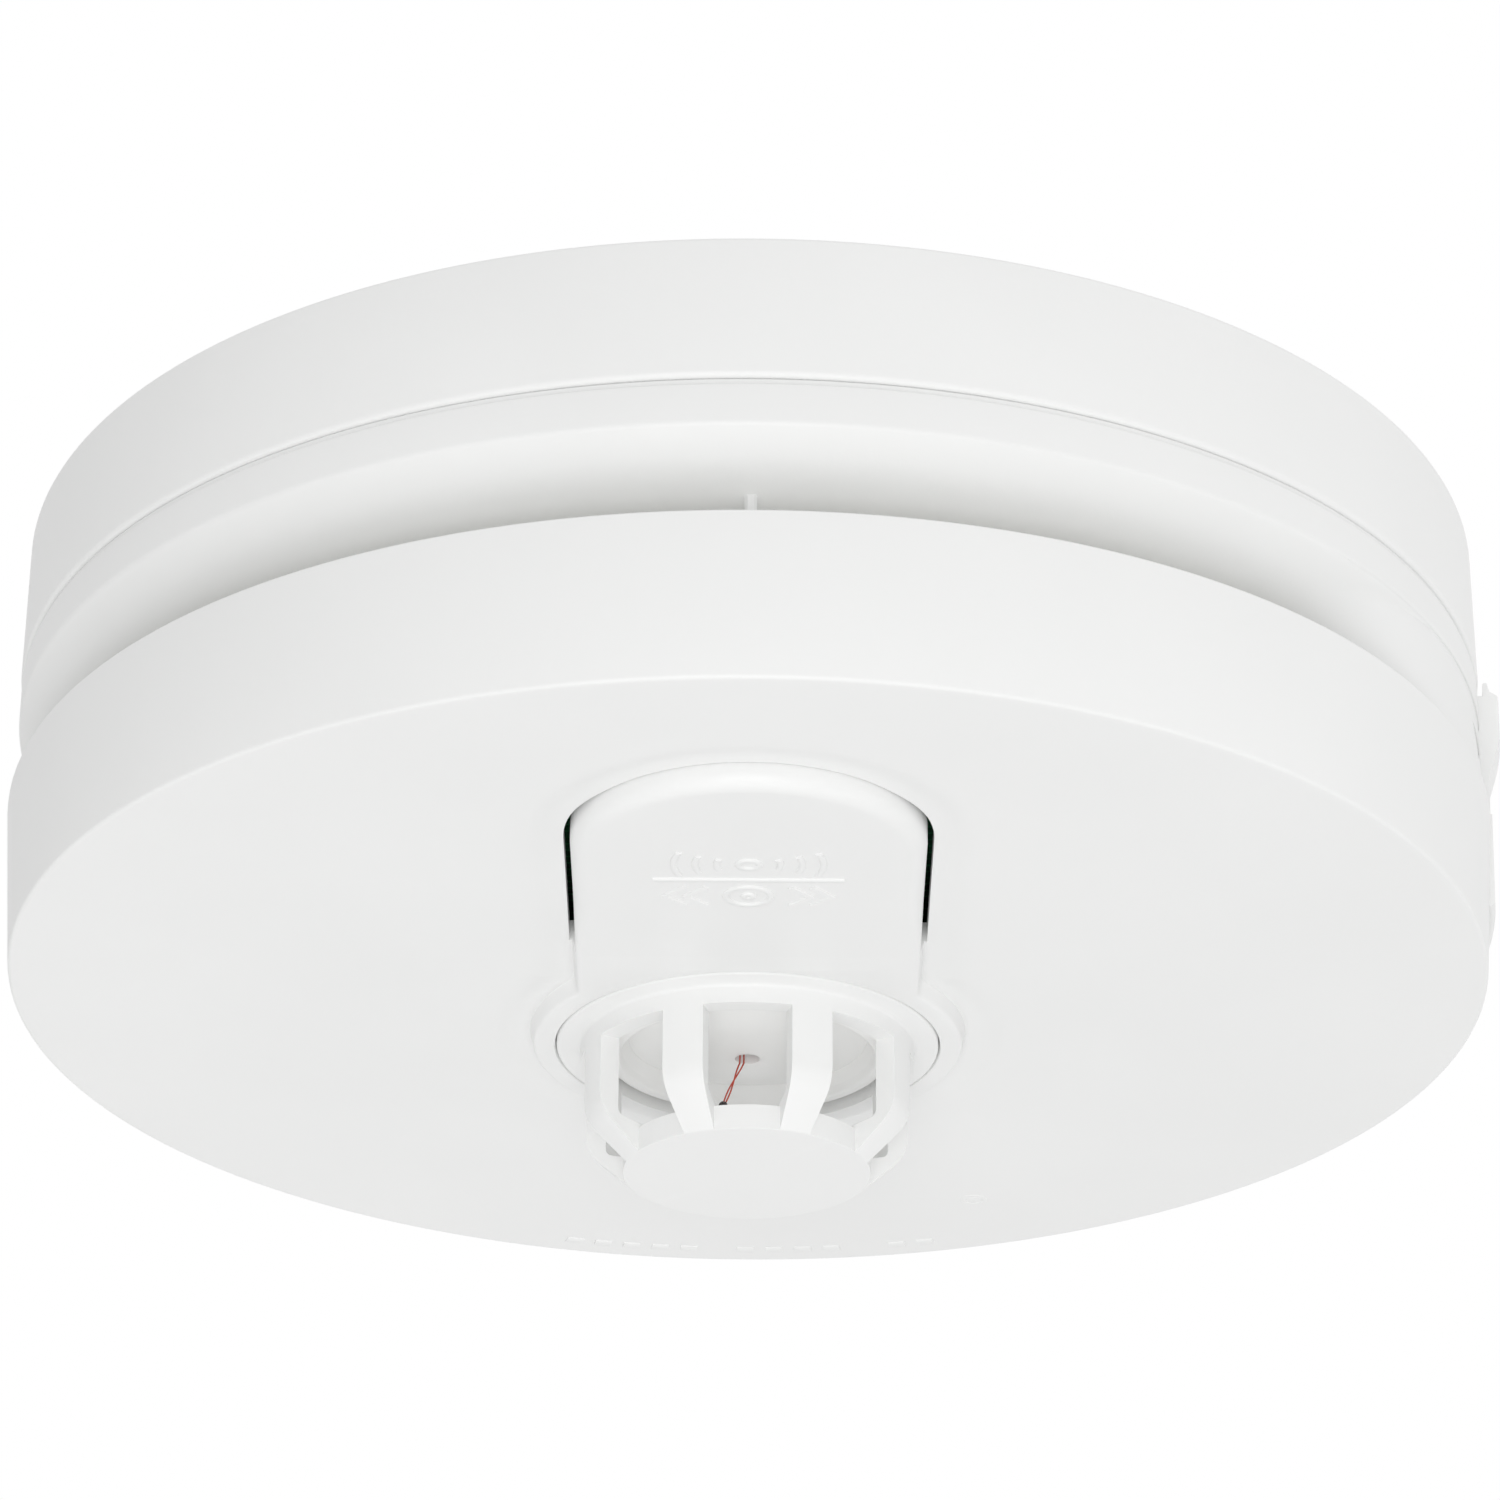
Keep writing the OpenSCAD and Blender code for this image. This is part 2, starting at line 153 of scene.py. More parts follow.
def rounded(points, closed=True, steps=4):
    """The outline (r, z, radius) with every corner that has a radius turned into an arc."""
    out = []
    count = len(points)
    for i, (r, z, radius) in enumerate(points):
        here = Vector((r, z))
        if radius <= 0 or (not closed and i in (0, count - 1)):
            out.append((r, z))
            continue
        before = (Vector(points[i - 1][:2]) - here).normalized()
        after = (Vector(points[(i + 1) % count][:2]) - here).normalized()
        half = before.angle(after) / 2
        centre = here + (before + after).normalized() * (radius / math.sin(half))
        start = here + before * (radius / math.tan(half)) - centre
        end = here + after * (radius / math.tan(half)) - centre
        turn = math.atan2(start.x * end.y - start.y * end.x, start.dot(end))
        for k in range(steps + 1):
            angle = turn * k / steps
            c, s = math.cos(angle), math.sin(angle)
            out.append((centre.x + start.x * c - start.y * s, centre.y + start.x * s + start.y * c))
    return out


def lathe(profile, centre=(0.0, 0.0), segments=SEGMENTS, arc=(0.0, 360.0)):
    """Points and faces of the closed profile (r, z) turned about a vertical axis."""
    whole = abs(arc[1] - arc[0]) >= 360
    columns = segments if whole else segments + 1
    verts, faces = [], []
    for j in range(columns):
        angle = math.radians(arc[0] + (arc[1] - arc[0]) * j / segments)
        c, s = math.cos(angle), math.sin(angle)
        verts += [(centre[0] + r * c, centre[1] + r * s, z) for r, z in profile]
    n = len(profile)
    for j in range(segments):
        a, b = j * n, ((j + 1) % columns) * n
        for i in range(n):
            k = (i + 1) % n
            faces.append((a + i, b + i, b + k, a + k))
    if not whole:
        faces.append(tuple(range(n)))
        faces.append(tuple(range(n * segments, n * columns)))
    return verts, faces


def strips(rows, closed_rows=True):
    """Points and faces that join each row of points to the next one."""
    verts = [p for row in rows for p in row]
    n = len(rows[0])
    faces = []
    for j in range(len(rows) - 1):
        for i in range(n if closed_rows else n - 1):
            k = (i + 1) % n
            faces.append((j * n + i, j * n + k, (j + 1) * n + k, (j + 1) * n + i))
    return verts, faces


def capped(rows):
    """A solid along rows of points, each row being one cross-section."""
    verts, faces = strips(rows)
    n = len(rows[0])
    return verts, faces + [tuple(range(n)), tuple(range(len(verts) - n, len(verts)))]


def level(points, z):
    return [(x, y, z) for x, y in points]


def box_part(low, high):
    """Points and faces of a box."""
    x, y, z = zip(low, high)
    verts = [(x[i], y[j], z[k]) for i in (0, 1) for j in (0, 1) for k in (0, 1)]
    return verts, [(0, 1, 3, 2), (4, 6, 7, 5), (0, 4, 5, 1), (2, 3, 7, 6), (0, 2, 6, 4), (1, 5, 7, 3)]


def prism(border, low, high):
    """An upright solid with this border, from z = low to z = high."""
    n = len(border)
    verts = level(border, low) + level(border, high)
    faces = [tuple(range(n)), tuple(range(n, 2 * n))]
    faces += [(i, (i + 1) % n, n + (i + 1) % n, n + i) for i in range(n)]
    return verts, faces


def joined(parts):
    """Several (points, faces) parts as one."""
    verts, faces = [], []
    for part_verts, part_faces in parts:
        start = len(verts)
        verts += part_verts
        faces += [tuple(start + i for i in face) for face in part_faces]
    return verts, faces


def bevel(obj, width, degrees=35, segments=3):
    """Rounds the sharp edges of obj by width millimetres."""
    modifier = obj.modifiers.new("edge_rounding", "BEVEL")
    modifier.width = width * MM
    modifier.segments = segments
    modifier.limit_method = "ANGLE"
    modifier.angle_limit = math.radians(degrees)
    return obj


def applied(obj):
    """obj with its modifiers applied."""
    graph = bpy.context.evaluated_depsgraph_get()
    mesh = bpy.data.meshes.new_from_object(obj.evaluated_get(graph))
    obj.modifiers.clear()
    obj.data = mesh
    mesh.shade_smooth()
    mesh.set_sharp_from_angle(angle=math.radians(SHARP_DEGREES))
    return obj


def carve(obj, parts):
    """Cuts the solids in parts out of obj."""
    for i, (verts, faces) in enumerate(parts):
        cutter = mesh_object(f"{obj.name}_cutter_{i}", verts, faces)
        modifier = obj.modifiers.new("cut", "BOOLEAN")
        modifier.operation = "DIFFERENCE"
        modifier.solver = "EXACT"
        modifier.object = cutter
        bpy.context.view_layer.update()
        applied(obj)
        bpy.data.objects.remove(cutter)
    return obj


def tube(path, radius, sides=12):
    """A round tube along a path of points."""
    rows = []
    side = Vector((0.0, 1.0, 0.0))
    for i, point in enumerate(path):
        ahead = Vector(path[min(i + 1, len(path) - 1)]) - Vector(path[max(i - 1, 0)])
        along = ahead.normalized()
        side = (side - along * side.dot(along)).normalized()
        up = along.cross(side)
        rows.append([tuple(Vector(point) + (side * math.cos(a) + up * math.sin(a)) * radius)
                     for a in (2 * math.pi * k / sides for k in range(sides))])
    return capped(rows)


# ---------------------------------------------------------------- materials

class Shader:
    """A node material with one principled shader."""

    def __init__(self, name):
        self.material = bpy.data.materials.new(name)
        self.material.use_nodes = True
        self.tree = self.material.node_tree
        self.surface = self.tree.nodes["Principled BSDF"]
        self.place = self.add("ShaderNodeTexCoord").outputs["Object"]

    def add(self, kind, **settings):
        node = self.tree.nodes.new(kind)
        for key, value in settings.items():
            setattr(node, key, value)
        return node

    def link(self, source, target):
        self.tree.links.new(source, target)

    def noise(self, scale, detail=3.0, roughness=0.55):
        node = self.add("ShaderNodeTexNoise")
        node.inputs["Scale"].default_value = scale
        node.inputs["Detail"].default_value = detail
        node.inputs["Roughness"].default_value = roughness
        self.link(self.place, node.inputs["Vector"])
        return node.outputs["Fac"]

    def ramp(self, source, stops):
        node = self.add("ShaderNodeValToRGB")
        elements = node.color_ramp.elements
        while len(elements) < len(stops):
            elements.new(0.5)
        for element, (position, colour) in zip(elements, stops):
            element.position = position
            element.color = (*colour, 1.0)
        self.link(source, node.inputs["Fac"])
        return node.outputs["Color"]

    def span(self, source, low, high, start=0.0, end=1.0):
        node = self.add("ShaderNodeMapRange")
        node.inputs["From Min"].default_value = start
        node.inputs["From Max"].default_value = end
        node.inputs["To Min"].default_value = low
        node.inputs["To Max"].default_value = high
        self.link(source, node.inputs["Value"])
        return node.outputs["Result"]

    def mix(self, factor, first, colour):
        """The output first, mixed towards a plain colour by factor."""
        node = self.add("ShaderNodeMix", data_type="RGBA")
        self.link(factor, node.inputs[0])
        self.link(first, node.inputs[6])
        node.inputs[7].default_value = (*colour, 1.0)
        return node.outputs[2]

    def bump(self, height, distance, below=None):
        """Bumps of distance millimetres, on top of the normal below where one is given."""
        node = self.add("ShaderNodeBump")
        node.inputs["Distance"].default_value = distance * MM
        self.link(height, node.inputs["Height"])
        if below is not None:
            self.link(below, node.inputs["Normal"])
        return node.outputs["Normal"]


def scaled(colour, factor):
    return tuple(min(1.0, c * factor) for c in colour)


def dust_specks(m):
    """1 inside a few small round specks, 0 elsewhere."""
    cells = m.add("ShaderNodeTexVoronoi")
    cells.inputs["Scale"].default_value = 95.0
    m.link(m.place, cells.inputs["Vector"])
    dot = m.span(cells.outputs["Distance"], 1.0, 0.0, 0.012, 0.020)
    chance = m.add("ShaderNodeSeparateColor")
    m.link(cells.outputs["Color"], chance.inputs["Color"])
    rare = m.span(chance.outputs[0], 0.0, 1.0, 0.90, 0.92)
    both = m.add("ShaderNodeMath", operation="MULTIPLY")
    m.link(dot, both.inputs[0])
    m.link(rare, both.inputs[1])
    return both.outputs[0]


def moulded_plastic(name, colour, roughness=0.42, grain=0.006, wear=0.05, specks=True):
    """Moulded plastic: fine spark-eroded grain, faint flow shading, paler worn edges, painted shade in
    concave creases, rare dust specks.
    """
    m = Shader(name)
    flow = m.noise(38.0, 2.0)
    tint = m.ramp(flow, [(0.30, scaled(colour, 0.985)), (0.70, scaled(colour, 1.010))])
    mottle = m.noise(420.0, 2.0)
    tint = m.mix(m.span(mottle, 0.0, 0.35), tint, scaled(colour, 0.992))
    edge = m.add("ShaderNodeNewGeometry").outputs["Pointiness"]
    worn = m.span(edge, 0.0, wear * 4, 0.52, 0.60)
    tint = m.mix(worn, tint, scaled(colour, 1.03))
    # Painted shade: the colour darkens a little in concave creases, where shade falls.
    crease_shade = m.span(edge, 0.10, 0.0, 0.40, 0.48)
    tint = m.mix(crease_shade, tint, scaled(colour, 0.90))
    if specks:
        tint = m.mix(dust_specks(m), tint, (0.34, 0.32, 0.30))
    m.link(tint, m.surface.inputs["Base Color"])
    m.link(m.span(m.noise(160.0, 3.0), roughness - 0.05, roughness + 0.07), m.surface.inputs["Roughness"])
    waviness = m.bump(m.noise(55.0, 1.0), 0.02)
    fine = m.noise(2600.0, 2.0, 0.6)
    m.link(m.bump(fine, grain, below=waviness), m.surface.inputs["Normal"])
    m.surface.inputs["IOR"].default_value = 1.49
    return m.material


def metal(name, colour, roughness=0.28, scratch=0.004):
    """Plated metal with drawn scratches and a few duller patches."""
    m = Shader(name)
    patches = m.noise(240.0, 4.0)
    m.link(m.ramp(patches, [(0.32, scaled(colour, 0.82)), (0.68, scaled(colour, 1.04))]),
           m.surface.inputs["Base Color"])
    m.link(m.span(patches, roughness - 0.08, roughness + 0.16), m.surface.inputs["Roughness"])
    m.surface.inputs["Metallic"].default_value = 1.0
    stretch = m.add("ShaderNodeMapping")
    stretch.inputs["Scale"].default_value = (1.0, 14.0, 1.0)
    m.link(m.place, stretch.inputs["Vector"])
    lines = m.add("ShaderNodeTexNoise")
    lines.inputs["Scale"].default_value = 900.0
    m.link(stretch.outputs["Vector"], lines.inputs["Vector"])
    m.link(m.bump(lines.outputs["Fac"], scratch), m.surface.inputs["Normal"])
    return m.material


def circuit_laminate(name, colour):
    """Green solder mask over copper tracks, with the weave faintly showing."""
    m = Shader(name)
    tracks = m.add("ShaderNodeTexBrick", offset=0.5)
    tracks.inputs["Scale"].default_value = 210.0
    tracks.inputs["Mortar Size"].default_value = 0.03
    tracks.inputs["Color1"].default_value = (*scaled(colour, 0.8), 1)
    tracks.inputs["Color2"].default_value = (*colour, 1)
    tracks.inputs["Mortar"].default_value = (*scaled(colour, 1.7), 1)
    m.link(m.place, tracks.inputs["Vector"])
    m.link(m.mix(m.span(m.noise(300.0), 0.0, 0.4), tracks.outputs["Color"], scaled(colour, 0.6)),
           m.surface.inputs["Base Color"])
    m.link(m.span(m.noise(500.0), 0.22, 0.4), m.surface.inputs["Roughness"])
    m.link(m.bump(tracks.outputs["Fac"], 0.03), m.surface.inputs["Normal"])
    return m.material


def clear_plastic(name):
    """Clear moulded light pipe with faint haze."""
    m = Shader(name)
    m.link(m.ramp(m.noise(500.0), [(0.3, (0.86, 0.88, 0.86)), (0.7, (0.95, 0.96, 0.95))]),
           m.surface.inputs["Base Color"])
    m.link(m.span(m.noise(700.0), 0.08, 0.22), m.surface.inputs["Roughness"])
    m.surface.inputs["Transmission Weight"].default_value = 0.7
    m.link(m.bump(m.noise(1500.0), 0.003), m.surface.inputs["Normal"])
    return m.material


WHITE = (0.865, 0.868, 0.862)
MATERIALS = {
    "housing_white": moulded_plastic("housing_white", WHITE),
    "inner_plastic": moulded_plastic("inner_plastic", (0.80, 0.80, 0.77), 0.5, specks=False),
    "dark_plastic": moulded_plastic("dark_plastic", (0.035, 0.035, 0.04), 0.45, wear=0.02, specks=False),
    "brass_contact": metal("brass_contact", (0.80, 0.62, 0.28)),
    "steel": metal("steel", (0.72, 0.72, 0.74)),
    "board_green": circuit_laminate("board_green", (0.03, 0.20, 0.08)),
    "lead_red": moulded_plastic("lead_red", (0.55, 0.08, 0.05), 0.35, grain=0.002, specks=False),
    "bead_black": moulded_plastic("bead_black", (0.045, 0.035, 0.035), 0.2, grain=0.002, specks=False),
    "component_blue": moulded_plastic("component_blue", (0.03, 0.08, 0.32), 0.3, specks=False),
    "component_orange": moulded_plastic("component_orange", (0.62, 0.25, 0.05), 0.3, specks=False),
    "clear_plastic": clear_plastic("clear_plastic"),
}


def dress(obj, slot):
    """Gives obj the slot's material."""
    obj.data.materials.clear()
    obj.data.materials.append(MATERIALS[slot])
    return obj


# ---------------------------------------------------------------- the raised platform's outline

ARCH_STEPS = 26
SIDE_STEPS = 20
NECK_STEPS = 8
FILLET_STEPS = 8
RING_STEPS = 64
COLLAR_STEPS = 160
FILLET = 2.0


def half_outline():
    """Steps along the right half of the outline: each one's stretch and its place on that stretch."""
    arch = [("arch", math.radians(-90 + 90 * i / ARCH_STEPS)) for i in range(ARCH_STEPS)]
    stretches = (("side", SIDE_STEPS), ("neck", NECK_STEPS), ("fillet", FILLET_STEPS), ("ring", RING_STEPS))
    rest = [(kind, i / steps) for kind, steps in stretches for i in range(steps)]
    return arch + rest + [("ring", 1.0)]


HALF = half_outline()
ROOT_INDEX = ARCH_STEPS + SIDE_STEPS


def outline_point(kind, t, grow):
    """A point of the outline, moved outward by grow. t is the angle on the arch, and a share elsewhere."""
    half_w = BUTTON_HALF_W + grow
    ring = RING_R + grow
    fillet = max(FILLET - grow, 0.3)
    fillet_x = half_w + fillet
    fillet_y = CAGE_Y - math.sqrt((ring + fillet) ** 2 - fillet_x ** 2)
    meet = math.atan2(fillet_y - CAGE_Y, fillet_x)
    if kind == "arch":
        return (half_w * math.cos(t), BUTTON_END_Y + half_w * math.sin(t))
    if kind == "side":
        return (half_w, BUTTON_END_Y + (ROOT_Y - BUTTON_END_Y) * t)
    if kind == "neck":
        return (half_w, ROOT_Y + (fillet_y - ROOT_Y) * t)
    if kind == "fillet":
        angle = math.pi + meet * t
        return (fillet_x + fillet * math.cos(angle), fillet_y + fillet * math.sin(angle))
    angle = meet + (math.pi / 2 - meet) * t
    return (ring * math.cos(angle), CAGE_Y + ring * math.sin(angle))


def mirrored(right):
    """The right half of an outline with its left half, anticlockwise from the round end's middle."""
    return right + [(-x, y) for x, y in reversed(right[1:-1])]


def outline(grow):
    """The whole outline, moved outward by grow."""
    return mirrored([outline_point(kind, t, grow) for kind, t in HALF])


LOOP = len(outline(0.0))
LEFT_ROOT_INDEX = LOOP - ROOT_INDEX
# Which points of the outline lie on the button's tongue, and which from its root round the ring
TONGUE = list(range(LEFT_ROOT_INDEX, LOOP)) + list(range(ROOT_INDEX + 1))
RING = range(ROOT_INDEX, LEFT_ROOT_INDEX + 1)


# ---------------------------------------------------------------- front cover

def moat_z(grow):
    """Height of the shallow moat round the platform."""
    return FACE_Z + MOAT_DEPTH * (1 - smoothstep(1.3, 3.7, grow))


def slot_edge():
    """The slot's outer edge: close to the button round its free end, BUTTON_GAP along its sides."""
    right = []
    for kind, t in HALF:
        open_share = smoothstep(math.radians(-44), math.radians(-14), t) if kind == "arch" else 1.0
        right.append(outline_point(kind, t, ARCH_GAP + (BUTTON_GAP - ARCH_GAP) * open_share))
    return mirrored(right)


def cover_shell(slot):
    """The moat, the face, the outer wall and the inside, from the slot's edge outward and back."""
    grows = [BUTTON_GAP, 0.95, 1.3, 1.7, 2.1, 2.5, 2.9, 3.3, 3.7, 4.2]
    rows = [level(outline(g), moat_z(g)) for g in grows]
    rows[0] = level(slot, moat_z(BUTTON_GAP))
    last = outline(grows[-1])
    angles = [math.atan2(y, x) for x, y in last]
    edge_r = FACE_R - 0.9
    for k in (1, 2, 4, 6, 8, 10):
        t = k / 10
        rows.append([(x + (edge_r * math.cos(a) - x) * t, y + (edge_r * math.sin(a) - y) * t, FACE_Z)
                     for (x, y), a in zip(last, angles)])
    wall = rounded([
        (edge_r, FACE_Z, 0), (FACE_R, FACE_Z, 0.32), (COVER_R, CHANNEL_BOTTOM_Z, 0.22),
        (COVER_R - WALL, CHANNEL_BOTTOM_Z, 0.3), (FACE_R - WALL, FACE_INNER_Z, 0.5),
        (FACE_R - WALL - 3, FACE_INNER_Z, 0)], closed=False, steps=5)
    for r, z in wall[1:]:
        rows.append([(r * math.cos(a), r * math.sin(a), z) for a in angles])
    rows.append(level(last, FACE_INNER_Z))
    rows.append(level(slot, FACE_INNER_Z))
    return strips(rows)


def slot_wall(slot):
    """The wall of the slot below the face, only where the slot is open."""
    rows = [level([slot[i] for i in TONGUE], z) for z in (moat_z(BUTTON_GAP), FACE_INNER_Z)]
    return strips(rows, closed_rows=False)


def platform_edge():
    """Rows down the platform's wall and through the groove at its foot, from the root round the ring."""
    steps = [(-0.35, PLATFORM_Z), (-0.20, PLATFORM_Z + 0.03), (-0.06, PLATFORM_Z + 0.12),
             (0.02, PLATFORM_Z + 0.28), (0.16, FACE_Z + 0.06), (0.22, FACE_Z + 0.28),
             (0.28, FACE_Z + 0.40), (0.36, FACE_Z + 0.39), (BUTTON_GAP, moat_z(BUTTON_GAP))]
    return [[(*outline(g)[i], z) for i in RING] for g, z in steps]


def collar_circles():
    """Circles down the hole for the cage, with its rounded mouth first."""
    mouth = [(COLLAR_R + 0.20, PLATFORM_Z), (COLLAR_R + 0.06, PLATFORM_Z + 0.04),
             (COLLAR_R, PLATFORM_Z + 0.16), (COLLAR_R, FACE_INNER_Z)]
    angles = [2 * math.pi * k / COLLAR_STEPS for k in range(COLLAR_STEPS)]
    return [[(r * math.cos(a), CAGE_Y + r * math.sin(a), z) for a in angles] for r, z in mouth]


def root_wall(edge):
    """The wall at the tongue's root, with the ends of the slot."""
    section = [row[0] for row in edge] + [(BUTTON_HALF_W + BUTTON_GAP, ROOT_Y, FACE_INNER_Z)]
    across = section + [(-x, y, z) for x, y, z in reversed(section)]
    return across, [tuple(range(len(across)))]


def front_cover():
    slot, edge, circles = slot_edge(), platform_edge(), collar_circles()
    top = flat_fill(edge[0], circles[0])
    bottom = flat_fill([(*outline(BUTTON_GAP)[i], FACE_INNER_Z) for i in RING], circles[-1])
    obj = mesh_object("front_cover_shell", *joined(
        [cover_shell(slot), slot_wall(slot), strips(edge, closed_rows=False), top, bottom,
         strips(circles), root_wall(edge), catch_strip()]), sharp_degrees=38)
    return dress(obj, "housing_white")


def flat_fill(border, hole):
    """Triangles between a border and a hole in one plane."""
    flat = [[Vector(p) for p in border], [Vector(p) for p in hole]]
    return list(border) + list(hole), [tuple(t) for t in tessellate_polygon(flat)]


def catch_strip():
    """The raised strip on the cover's wall below the release catch."""
    half_w, low, high = BLOCK_HALF_W, -30.5, CHANNEL_BOTTOM_Z
    rows = []
    for k in range(17):
        y = -half_w + 2 * half_w * k / 16
        outer = math.sqrt((BLOCK_R - 0.9) ** 2 - y * y)
        inner = outer - 1.75
        rows.append([(inner, y, high), (outer, y, high), (outer - 0.12, y, low + 0.25),
                     (outer - 0.4, y, low), (inner, y, low)])
    return capped(rows)


# ---------------------------------------------------------------- test button

def button_top_z(y):
    """Height of the button's surface, which stands out further towards its round end."""
    return PLATFORM_Z - (TIP_H - PLATFORM_H) * smoothstep(0.0, 1.25, (ROOT_Y - y) / 33.3)


def web(row, cells=14):
    """The surface that spans a row of points from its left half to its right half."""
    lines = []
    for i in range(len(row) // 2 + 1):
        left, right = row[i], row[len(row) - 1 - i]
        lines.append([(left[0] + (right[0] - left[0]) * k / cells, left[1], left[2])
                      for k in range(cells + 1)])
    return strips(lines, closed_rows=False)


def test_button():
    bottom_z = FACE_INNER_Z - 0.6
    round_steps = 7
    foot = outline(0.0)
    rows = [[(*foot[i], bottom_z) for i in TONGUE]]
    for k in range(round_steps + 1):
        angle = math.radians(90 * k / round_steps)
        row = []
        for i in TONGUE:
            y = foot[i][1]
            radius = 0.35 + 0.95 * smoothstep(0.0, 9.0, ROOT_Y - y)
            x_in, y_in = outline(-radius * (1 - math.cos(angle)))[i]
            row.append((x_in, y_in, button_top_z(y_in) + radius * (1 - math.sin(angle))))
        rows.append(row)
    sides = strips(rows, closed_rows=False)
    root = [row[0] for row in rows] + [row[-1] for row in reversed(rows)]
    obj = mesh_object("test_button_tongue", *joined(
        [sides, web(rows[-1]), web(rows[0]), (root, [tuple(range(len(root)))])]), sharp_degrees=38)
    return dress(obj, "housing_white")


def raised_stroke(path, width, height, surface):
    """A low moulded rib along path, standing on the surface z = surface(y)."""
    count = len(path)
    rows = []
    for i, (x, y) in enumerate(path):
        x0, y0 = path[max(i - 1, 0)]
        x1, y1 = path[min(i + 1, count - 1)]
        length = math.hypot(x1 - x0, y1 - y0)
        nx, ny = -(y1 - y0) / length, (x1 - x0) / length
        z = surface(y)
        section = [(-0.5, 0.15), (-0.46, -0.55 * height), (-0.34, -height), (0.34, -height),
                   (0.46, -0.55 * height), (0.5, 0.15)]
        rows.append([(x + nx * width * s, y + ny * width * s, z + dz) for s, dz in section])
    return capped(rows)


def arc_path(centre, radius, start, end, steps):
    """Points of an arc from start to end, in degrees."""
    angles = [math.radians(start + (end - start) * k / steps) for k in range(steps + 1)]
    return [(centre[0] + radius * math.cos(a), centre[1] + radius * math.sin(a)) for a in angles]


def button_icons():
    """Generic raised symbols: sound arcs on one side of a line, a ring and dot on the other."""
    line_y, sound_y, ring_y = -26.0, -28.9, -22.9
    paths = [[(x, line_y) for x in (-7.2, -2.4, 2.4, 7.2)]]
    for side in (-1, 1):
        middle = 90 - 90 * side
        for radius in (2.4, 4.0, 5.6):
            paths.append(arc_path((0, sound_y), radius, middle - 22, middle + 22, 8))
        for shift in (0, 1.6):
            x = side * (3.2 + shift)
            paths.append([(x, ring_y - 1.7), (x + side * 1.5, ring_y), (x, ring_y + 1.7)])
    paths.append(arc_path((0, sound_y), 0.8, 0, 359, 16))
    paths.append(arc_path((0, ring_y), 1.7, 0, 359, 24))
    paths.append(arc_path((0, ring_y), 0.35, 0, 359, 12))
    obj = mesh_object("button_icons", *joined(
        [raised_stroke(p, 0.55, 0.16, button_top_z) for p in paths]), sharp_degrees=50)
    return dress(obj, "housing_white")


def rim_dashes():
    """Three groups of plain raised dashes that follow the far rim."""
    dash_ring_r, spacing, half_dash = 55.2, 2.6, 0.75
    paths = []
    for middle, count in ((100.4, 5), (86.2, 4), (75.0, 2)):
        for i in range(count):
            angle = middle + (i - (count - 1) / 2) * spacing
            paths.append(arc_path((0, 0), dash_ring_r, angle - half_dash, angle + half_dash, 2))
    obj = mesh_object("rim_dashes", *joined(
        [raised_stroke(p, 1.1, 0.13, lambda y: FACE_Z) for p in paths]), sharp_degrees=50)
    return dress(obj, "housing_white")


# ---------------------------------------------------------------- sensor cage and dome

def sensor_cage():
    knee_z = PLATFORM_Z - KNEE_H
    bottom_z = PLATFORM_Z - CAGE_H
    disc_z = bottom_z + CAGE_DISC_T
    inner = CAGE_R - CAGE_WALL
    flange_r = COLLAR_R - 0.12
    flange_z = PLATFORM_Z - 0.05
    profile = rounded([
        (inner, FACE_INNER_Z + 2, 0), (flange_r, FACE_INNER_Z + 2, 0), (flange_r, flange_z, 0.22),
        (CAGE_R, flange_z, 0.3), (CAGE_R, knee_z, 3.0), (CAGE_DISC_R, bottom_z, 0.45),
        (0.0, bottom_z, 0), (0.0, disc_z, 0), (CAGE_DISC_R - 1.6, disc_z, 0.3), (inner, knee_z - 0.35, 0.6)])
    obj = mesh_object("sensor_cage_moulding", *lathe(profile, (0.0, CAGE_Y), segments=192))
    carve(obj, [cage_windows(bottom_z, disc_z)])
    bevel(obj, 0.28, degrees=40)
    return dress(obj, "housing_white")


def cage_windows(bottom_z, disc_z):
    """The solids between the bars, to be cut out of the cage."""
    reach = 18.0
    ring_z = PLATFORM_Z - CAGE_RING_H
    section = [(CAGE_DISC_R - 2.0, disc_z), (CAGE_DISC_R, disc_z), (CAGE_DISC_R, bottom_z - 1),
               (reach, bottom_z - 1), (reach, ring_z), (CAGE_DISC_R - 2.0, ring_z)]
    half = 180 / CAGE_BARS - math.degrees(math.asin(BAR_W / 2 / CAGE_R))
    middles = [-90 + 360 * i / CAGE_BARS for i in range(CAGE_BARS)]
    return joined([lathe(section, (0.0, CAGE_Y), segments=16, arc=(m - half, m + half)) for m in middles])


def sensor_dome():
    crown_z = PLATFORM_Z - 1.0
    rim_z = PLATFORM_Z - 0.4
    skirt_z = -28.6
    points = [(11.2, skirt_z, 0), (11.2, rim_z - 0.55, 0.3), (10.2, rim_z - 0.55, 0.25),
              (10.0, rim_z + 0.15, 0.15)]
    for k in range(14):
        r = 9.5 - (9.5 - 1.15) * k / 13
        points.append((r, crown_z + 1.7 * (r / 9.4) ** 2, 0))
    points += [(1.0, crown_z + 0.1, 0), (1.0, crown_z + 1.6, 0), (9.6, rim_z + 1.5, 0),
               (9.8, skirt_z, 0)]
    obj = mesh_object("sensor_dome_moulding", *lathe(rounded(points), (0.0, CAGE_Y), segments=128))
    dress(obj, "housing_white")
    # Painted light: a brighter copy of the housing white, so the dome looks lit although the cage shades it.
    obj.data.materials[0] = moulded_plastic("dome_white_painted_light", (0.95, 0.95, 0.942), 0.36, specks=False)
    return obj


def middle_of(node):
    """The middle of a CAD node's box, in millimetres."""
    low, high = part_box(node)
    return (low + high) / 2 / MM


